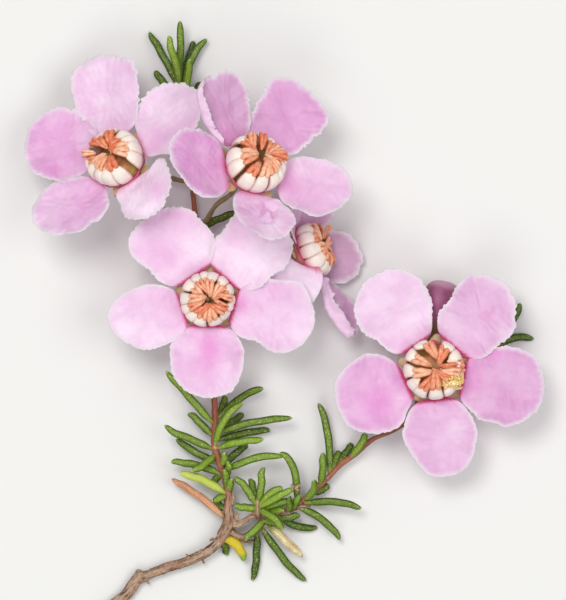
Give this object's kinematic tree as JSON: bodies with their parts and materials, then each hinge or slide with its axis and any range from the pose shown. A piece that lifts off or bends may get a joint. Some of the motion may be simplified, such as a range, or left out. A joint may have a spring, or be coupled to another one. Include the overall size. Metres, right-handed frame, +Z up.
{
  "type": "babingtonia stem",
  "caption": "Cut flowering babingtonia sprig with lilac-pink flowers, a closed bud and narrow needle-like leaves on woody twigs, lying on a surface.",
  "frame": {"origin": "centre of the bounding box at its lowest plane, the surface the sprig lies on", "axes": "+Y from the woody cut end towards the leafy tip, +Z up out of the surface, the flowers look to +Z"},
  "size_m": [0.038, 0.044, 0.0116],
  "materials": {
    "bark": "rough bark",
    "twig": "young red-brown bark",
    "leaf": "waxy, dotted with oil glands",
    "leaf_yellow": "waxy",
    "leaf_dried": "dry and matt",
    "petal": "soft matt with a silky sheen",
    "cup": "waxy",
    "stamen": "smooth and waxy",
    "bud": "soft matt"
  },
  "bodies": {
    "root": {"flower_a_cup": "cup", "flower_a_petal_1": "petal", "flower_a_petal_2": "petal", "flower_a_petal_3": "petal", "flower_a_petal_4": "petal", "flower_a_petal_5": "petal", "flower_a_stamens": "stamen", "flower_b_cup": "cup", "flower_b_petal_1": "petal", "flower_b_petal_2": "petal", "flower_b_petal_3": "petal", "flower_b_petal_4": "petal", "flower_b_petal_5": "petal", "flower_b_stamens": "stamen", "flower_bud": "bud", "flower_c_cup": "cup", "flower_c_petal_1": "petal", "flower_c_petal_2": "petal", "flower_c_petal_3": "petal", "flower_c_petal_4": "petal", "flower_c_petal_5": "petal", "flower_c_stamens": "stamen", "flower_d_cup": "cup", "flower_d_petal_1": "petal", "flower_d_petal_2": "petal", "flower_d_petal_3": "petal", "flower_d_petal_4": "petal", "flower_d_petal_5": "petal", "flower_d_stamens": "stamen", "flower_e_cup": "cup", "flower_e_petal_1": "petal", "flower_e_petal_2": "petal", "flower_e_petal_3": "petal", "flower_e_petal_4": "petal", "flower_e_petal_5": "petal", "flower_e_stamens": "stamen", "leaf_dried_brown": "leaf_dried", "leaf_dried_tan": "leaf_dried", "leaf_front": "leaf", "leaf_hooked": "leaf", "leaf_left_1": "leaf", "leaf_left_2": "leaf", "leaf_low_1": "leaf", "leaf_low_2": "leaf", "leaf_low_curved": "leaf", "leaf_low_long": "leaf", "leaf_right_1": "leaf", "leaf_right_2": "leaf", "leaf_right_3": "leaf", "leaf_side_tall": "leaf", "leaf_tip_front": "leaf", "leaf_tip_left": "leaf", "leaf_tip_long": "leaf", "leaf_tip_right": "leaf", "leaf_yellow": "leaf_yellow", "leaf_yellow_green": "leaf_yellow", "side_twig": "twig", "spur_twig": "twig", "upright_twig": "twig", "woody_stem": "bark"}
  },
  "joints": []
}
